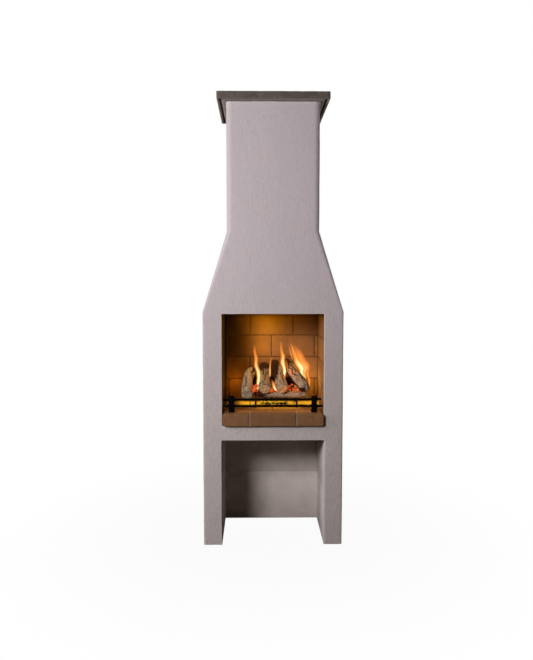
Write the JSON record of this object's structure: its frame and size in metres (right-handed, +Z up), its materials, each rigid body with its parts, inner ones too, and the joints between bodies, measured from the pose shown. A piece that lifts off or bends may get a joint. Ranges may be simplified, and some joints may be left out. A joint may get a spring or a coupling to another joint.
{
  "type": "outdoor fireplace",
  "caption": "Free-standing garden fireplace with a wood store, brick-lined firebox, tapered hood, square chimney, cap slab, loose guard rail and a grate with burning logs.",
  "frame": {"origin": "on the ground under the middle of the body", "axes": "+Z up; the fire opening and the wood store face -Y; +X is to the right of someone who faces the fire"},
  "size_m": [0.7, 0.546, 2.2349],
  "materials": {
    "pumice_concrete": "rough precast lightweight concrete, pale warm grey",
    "mineral_render": "fine mineral render, brushed upright, pale grey with a trace of lilac",
    "cast_stone": "dark grey-brown cast stone, rough and weathered",
    "firebrick": "buff firebrick, matt",
    "hearth_mortar": "pale grey refractory mortar",
    "black_steel": "heat-proof matt black",
    "cast_iron": "sooty cast iron",
    "charred_bark": "grey bark, charred towards the top, tan sawn end",
    "birch_bark": "pale birch bark with grey ash",
    "embers": "glowing charcoal and flame"
  },
  "bodies": {
    "fireplace": {"base_module_1": "pumice_concrete", "base_module_2": "pumice_concrete", "shelf_slab": "pumice_concrete", "casing_module_1": "pumice_concrete", "casing_module_2": "pumice_concrete", "hood_module_1": "pumice_concrete", "hood_module_2": "pumice_concrete", "chimney_module_1": "pumice_concrete", "chimney_module_2": "pumice_concrete", "chimney_module_3": "pumice_concrete", "cap_slab": "cast_stone", "render_coat": "mineral_render", "back_brick_course_1": "firebrick", "back_brick_course_2": "firebrick", "back_brick_course_3": "firebrick", "back_brick_course_4": "firebrick", "left_brick_course_1": "firebrick", "left_brick_course_2": "firebrick", "left_brick_course_3": "firebrick", "left_brick_course_4": "firebrick", "right_brick_course_1": "firebrick", "right_brick_course_2": "firebrick", "right_brick_course_3": "firebrick", "right_brick_course_4": "firebrick", "floor_brick_course_2": "firebrick", "floor_brick_course_3": "firebrick", "floor_brick_course_4": "firebrick", "hearth_brick_left": "firebrick", "hearth_brick_middle": "firebrick", "hearth_brick_right": "firebrick", "hearth_joint_left": "hearth_mortar", "hearth_joint_right": "hearth_mortar"},
    "guard_rail": {"guard_plate_left": "black_steel", "guard_plate_right": "black_steel", "guard_bar_upper": "black_steel", "guard_bar_lower": "black_steel"},
    "fire": {"log_grate": "cast_iron", "log_front": "birch_bark", "log_back": "charred_bark", "log_left": "birch_bark", "log_middle_left": "charred_bark", "log_middle_right": "charred_bark", "log_right": "charred_bark", "ember_bed": "embers"}
  },
  "joints": [
    {"name": "guard_rail_out", "type": "slide", "parent": "fireplace", "child": "guard_rail", "axis": [0, -1, 0], "range_m": [0, 0.15]},
    {"name": "fire_lift_out", "type": "slide", "parent": "fireplace", "child": "fire", "axis": [0, -0.8111, 0.5849], "range_m": [0, 0.49]}
  ]
}
